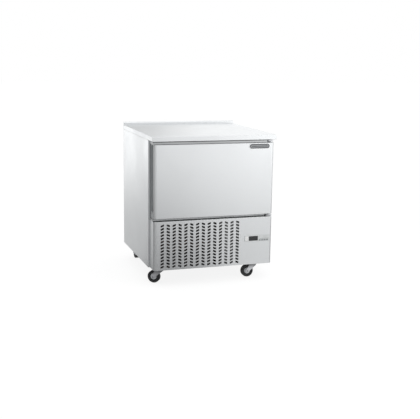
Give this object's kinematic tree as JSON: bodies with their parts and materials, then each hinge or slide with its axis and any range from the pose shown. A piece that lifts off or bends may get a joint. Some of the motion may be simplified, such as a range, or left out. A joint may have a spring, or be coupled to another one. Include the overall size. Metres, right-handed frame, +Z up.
{
  "type": "blast chiller",
  "caption": "Undercounter blast chiller in brushed stainless steel, with a right-hinged insulated door, slotted lower panel, small controller and swivel casters.",
  "frame": {"origin": "on the floor under the middle of the worktop", "axes": "+Z up, +X to the right seen from the door side, +Y towards the back"},
  "size_m": [0.8, 0.815, 0.955],
  "materials": {
    "stainless_steel": "brushed stainless sheet",
    "liner_steel": "polished stainless sheet",
    "back_steel": "plain coated steel sheet",
    "foam": "rigid polyurethane foam",
    "grey_plastic": "satin extruded plastic",
    "seal_rubber": "matt bellows gasket",
    "tyre_rubber": "matt black tread",
    "wheel_nylon": "pale moulded nylon",
    "zinc_steel": "zinc-plated pressed steel",
    "aluminium": "mill-finish fins and blades",
    "black_paint": "satin black paint",
    "copper": "drawn copper tube",
    "box_plastic": "light grey moulded plastic",
    "fascia_plastic": "pale satin fascia",
    "display_plastic": "dark glossy window",
    "key_plastic": "soft grey keys",
    "badge_plastic": "dark glossy plate"
  },
  "bodies": {
    "root": {"worktop": "stainless_steel", "rear_upstand": "stainless_steel", "left_side_panel": "stainless_steel", "right_side_panel": "stainless_steel", "lower_front_panel": "stainless_steel", "rear_panel": "back_steel", "base_tray": "back_steel", "condenser_fan_shroud": "back_steel", "condensate_tray": "back_steel", "cell_liner": "liner_steel", "tray_rack_left": "liner_steel", "tray_rack_right": "liner_steel", "fan_panel": "liner_steel", "drip_tray": "liner_steel", "cell_insulation": "foam", "door_frame": "grey_plastic", "drain_pipe": "grey_plastic", "power_cable_gland": "grey_plastic", "upper_hinge_bracket": "zinc_steel", "lower_hinge_bracket": "zinc_steel", "evaporator_coil": "aluminium", "condenser_coil": "aluminium", "evaporator_fan_motor": "black_paint", "condenser_fan_motor": "black_paint", "compressor": "black_paint", "liquid_receiver": "black_paint", "discharge_pipe": "copper", "liquid_pipe": "copper", "suction_pipe": "copper", "electrical_box": "box_plastic", "controller_fascia": "fascia_plastic", "display_window": "display_plastic", "caster_plate_front_left": "zinc_steel", "caster_plate_front_right": "zinc_steel", "caster_plate_rear_left": "zinc_steel", "caster_plate_rear_right": "zinc_steel"},
    "door": {"door_outer_skin": "stainless_steel", "door_insulation": "foam", "door_inner_liner": "liner_steel", "door_gasket": "seal_rubber", "door_grip_profile": "grey_plastic", "badge_plate": "badge_plastic"},
    "evaporator_fan": {"evaporator_fan_blade": "aluminium"},
    "condenser_fan": {"condenser_fan_blade": "aluminium"},
    "key_1": {"controller_key_1": "key_plastic"},
    "key_2": {"controller_key_2": "key_plastic"},
    "key_3": {"controller_key_3": "key_plastic"},
    "key_4": {"controller_key_4": "key_plastic"},
    "fork_front_left": {"caster_fork_front_left": "zinc_steel"},
    "wheel_front_left": {"wheel_core_front_left": "wheel_nylon", "tyre_front_left": "tyre_rubber"},
    "fork_front_right": {"caster_fork_front_right": "zinc_steel"},
    "wheel_front_right": {"wheel_core_front_right": "wheel_nylon", "tyre_front_right": "tyre_rubber"},
    "fork_rear_left": {"caster_fork_rear_left": "zinc_steel"},
    "wheel_rear_left": {"wheel_core_rear_left": "wheel_nylon", "tyre_rear_left": "tyre_rubber"},
    "fork_rear_right": {"caster_fork_rear_right": "zinc_steel"},
    "wheel_rear_right": {"wheel_core_rear_right": "wheel_nylon", "tyre_rear_right": "tyre_rubber"}
  },
  "joints": [
    {"name": "door_hinge", "type": "hinge", "parent": "root", "child": "door", "pos_m": [0.375, -0.3725, 0.6575], "axis": [0, 0, 1], "range_deg": [0, 115]},
    {"name": "evaporator_fan_spin", "type": "hinge", "parent": "root", "child": "evaporator_fan", "pos_m": [0, 0.17, 0.6575], "axis": [0, 1, 0], "continuous": true},
    {"name": "condenser_fan_spin", "type": "hinge", "parent": "root", "child": "condenser_fan", "pos_m": [-0.13, -0.171, 0.24715], "axis": [0, 1, 0], "continuous": true},
    {"name": "key_1_press", "type": "slide", "parent": "root", "child": "key_1", "axis": [0, 1, 0], "range_m": [0, 0.001], "stiffness_N_per_m": 500},
    {"name": "key_2_press", "type": "slide", "parent": "root", "child": "key_2", "axis": [0, 1, 0], "range_m": [0, 0.001], "stiffness_N_per_m": 500},
    {"name": "key_3_press", "type": "slide", "parent": "root", "child": "key_3", "axis": [0, 1, 0], "range_m": [0, 0.001], "stiffness_N_per_m": 500},
    {"name": "key_4_press", "type": "slide", "parent": "root", "child": "key_4", "axis": [0, 1, 0], "range_m": [0, 0.001], "stiffness_N_per_m": 500},
    {"name": "swivel_front_left", "type": "hinge", "parent": "root", "child": "fork_front_left", "pos_m": [-0.322, -0.305, 0.088], "axis": [0, 0, 1], "continuous": true},
    {"name": "wheel_spin_front_left", "type": "hinge", "parent": "fork_front_left", "child": "wheel_front_left", "pos_m": [-0.35722, -0.28034, 0.04], "axis": [-0.5736, -0.8191, 0], "continuous": true},
    {"name": "swivel_front_right", "type": "hinge", "parent": "root", "child": "fork_front_right", "pos_m": [0.302, -0.305, 0.088], "axis": [0, 0, 1], "continuous": true},
    {"name": "wheel_spin_front_right", "type": "hinge", "parent": "fork_front_right", "child": "wheel_front_right", "pos_m": [0.259, -0.305, 0.04], "axis": [0, 1, 0], "continuous": true},
    {"name": "swivel_rear_left", "type": "hinge", "parent": "root", "child": "fork_rear_left", "pos_m": [-0.322, 0.305, 0.088], "axis": [0, 0, 1], "continuous": true},
    {"name": "wheel_spin_rear_left", "type": "hinge", "parent": "fork_rear_left", "child": "wheel_rear_left", "pos_m": [-0.322, 0.348, 0.04], "axis": [1, 0, 0], "continuous": true},
    {"name": "swivel_rear_right", "type": "hinge", "parent": "root", "child": "fork_rear_right", "pos_m": [0.302, 0.305, 0.088], "axis": [0, 0, 1], "continuous": true},
    {"name": "wheel_spin_rear_right", "type": "hinge", "parent": "fork_rear_right", "child": "wheel_rear_right", "pos_m": [0.3235, 0.34224, 0.04], "axis": [-0.866, 0.5, 0], "continuous": true}
  ]
}
